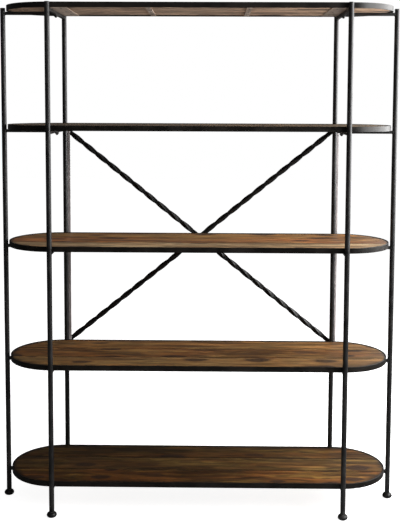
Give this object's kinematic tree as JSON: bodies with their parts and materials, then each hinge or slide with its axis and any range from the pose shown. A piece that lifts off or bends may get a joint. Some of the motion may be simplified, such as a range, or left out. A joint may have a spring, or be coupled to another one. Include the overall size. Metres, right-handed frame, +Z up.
{
  "type": "shelving unit",
  "caption": "Tall free-standing shelving unit: round-ended plank shelves in iron rims on round posts, a twisted-bar cross brace behind and feet that screw out to level it.",
  "frame": {"origin": "on the floor, under the middle of the shelves", "axes": "+Z up, +X to the right seen from the front, +Y to the rear, where the brace is"},
  "size_m": [1.533, 0.4431, 1.912],
  "materials": {
    "iron": "near-black satin lacquer",
    "planks": "old boards, brown stain under clear satin",
    "fasteners": "blackened steel",
    "bright_steel": "dull zinc",
    "feet": "black satin"
  },
  "bodies": {
    "frame": {"brace_bolts": "fasteners", "brace_rivet": "fasteners", "end_bars": "iron", "end_left_post": "iron", "end_right_post": "iron", "falling_brace_bar": "iron", "foot_inserts": "bright_steel", "front_left_post": "iron", "front_right_post": "iron", "left_brace_upright": "iron", "left_cross_bar_1": "iron", "left_cross_bar_2": "iron", "left_cross_bar_3": "iron", "left_cross_bar_4": "iron", "left_cross_bar_5": "iron", "plank_screws": "bright_steel", "post_caps": "iron", "rear_left_post": "iron", "rear_right_post": "iron", "right_brace_upright": "iron", "right_cross_bar_1": "iron", "right_cross_bar_2": "iron", "right_cross_bar_3": "iron", "right_cross_bar_4": "iron", "right_cross_bar_5": "iron", "rising_brace_bar": "iron", "shelf_1_front_plank": "planks", "shelf_1_middle_plank": "planks", "shelf_1_rear_plank": "planks", "shelf_1_rim": "iron", "shelf_1_straps": "iron", "shelf_2_front_plank": "planks", "shelf_2_middle_plank": "planks", "shelf_2_rear_plank": "planks", "shelf_2_rim": "iron", "shelf_2_straps": "iron", "shelf_3_front_plank": "planks", "shelf_3_middle_plank": "planks", "shelf_3_rear_plank": "planks", "shelf_3_rim": "iron", "shelf_3_straps": "iron", "shelf_4_front_plank": "planks", "shelf_4_middle_plank": "planks", "shelf_4_rear_plank": "planks", "shelf_4_rim": "iron", "shelf_4_straps": "iron", "shelf_5_front_plank": "planks", "shelf_5_middle_plank": "planks", "shelf_5_rear_plank": "planks", "shelf_5_rim": "iron", "shelf_5_straps": "iron", "shelf_bolts": "fasteners"},
    "front_left_foot": {"front_left_foot": "feet"},
    "front_right_foot": {"front_right_foot": "feet"},
    "rear_left_foot": {"rear_left_foot": "feet"},
    "rear_right_foot": {"rear_right_foot": "feet"},
    "end_left_foot": {"end_left_foot": "feet"},
    "end_right_foot": {"end_right_foot": "feet"}
  },
  "joints": [
    {"name": "front_left_foot_screw", "type": "slide", "parent": "frame", "child": "front_left_foot", "axis": [0, 0, -1], "range_m": [0, 0.012]},
    {"name": "front_right_foot_screw", "type": "slide", "parent": "frame", "child": "front_right_foot", "axis": [0, 0, -1], "range_m": [0, 0.012]},
    {"name": "rear_left_foot_screw", "type": "slide", "parent": "frame", "child": "rear_left_foot", "axis": [0, 0, -1], "range_m": [0, 0.012]},
    {"name": "rear_right_foot_screw", "type": "slide", "parent": "frame", "child": "rear_right_foot", "axis": [0, 0, -1], "range_m": [0, 0.012]},
    {"name": "end_left_foot_screw", "type": "slide", "parent": "frame", "child": "end_left_foot", "axis": [0, 0, -1], "range_m": [0, 0.012]},
    {"name": "end_right_foot_screw", "type": "slide", "parent": "frame", "child": "end_right_foot", "axis": [0, 0, -1], "range_m": [0, 0.012]}
  ]
}
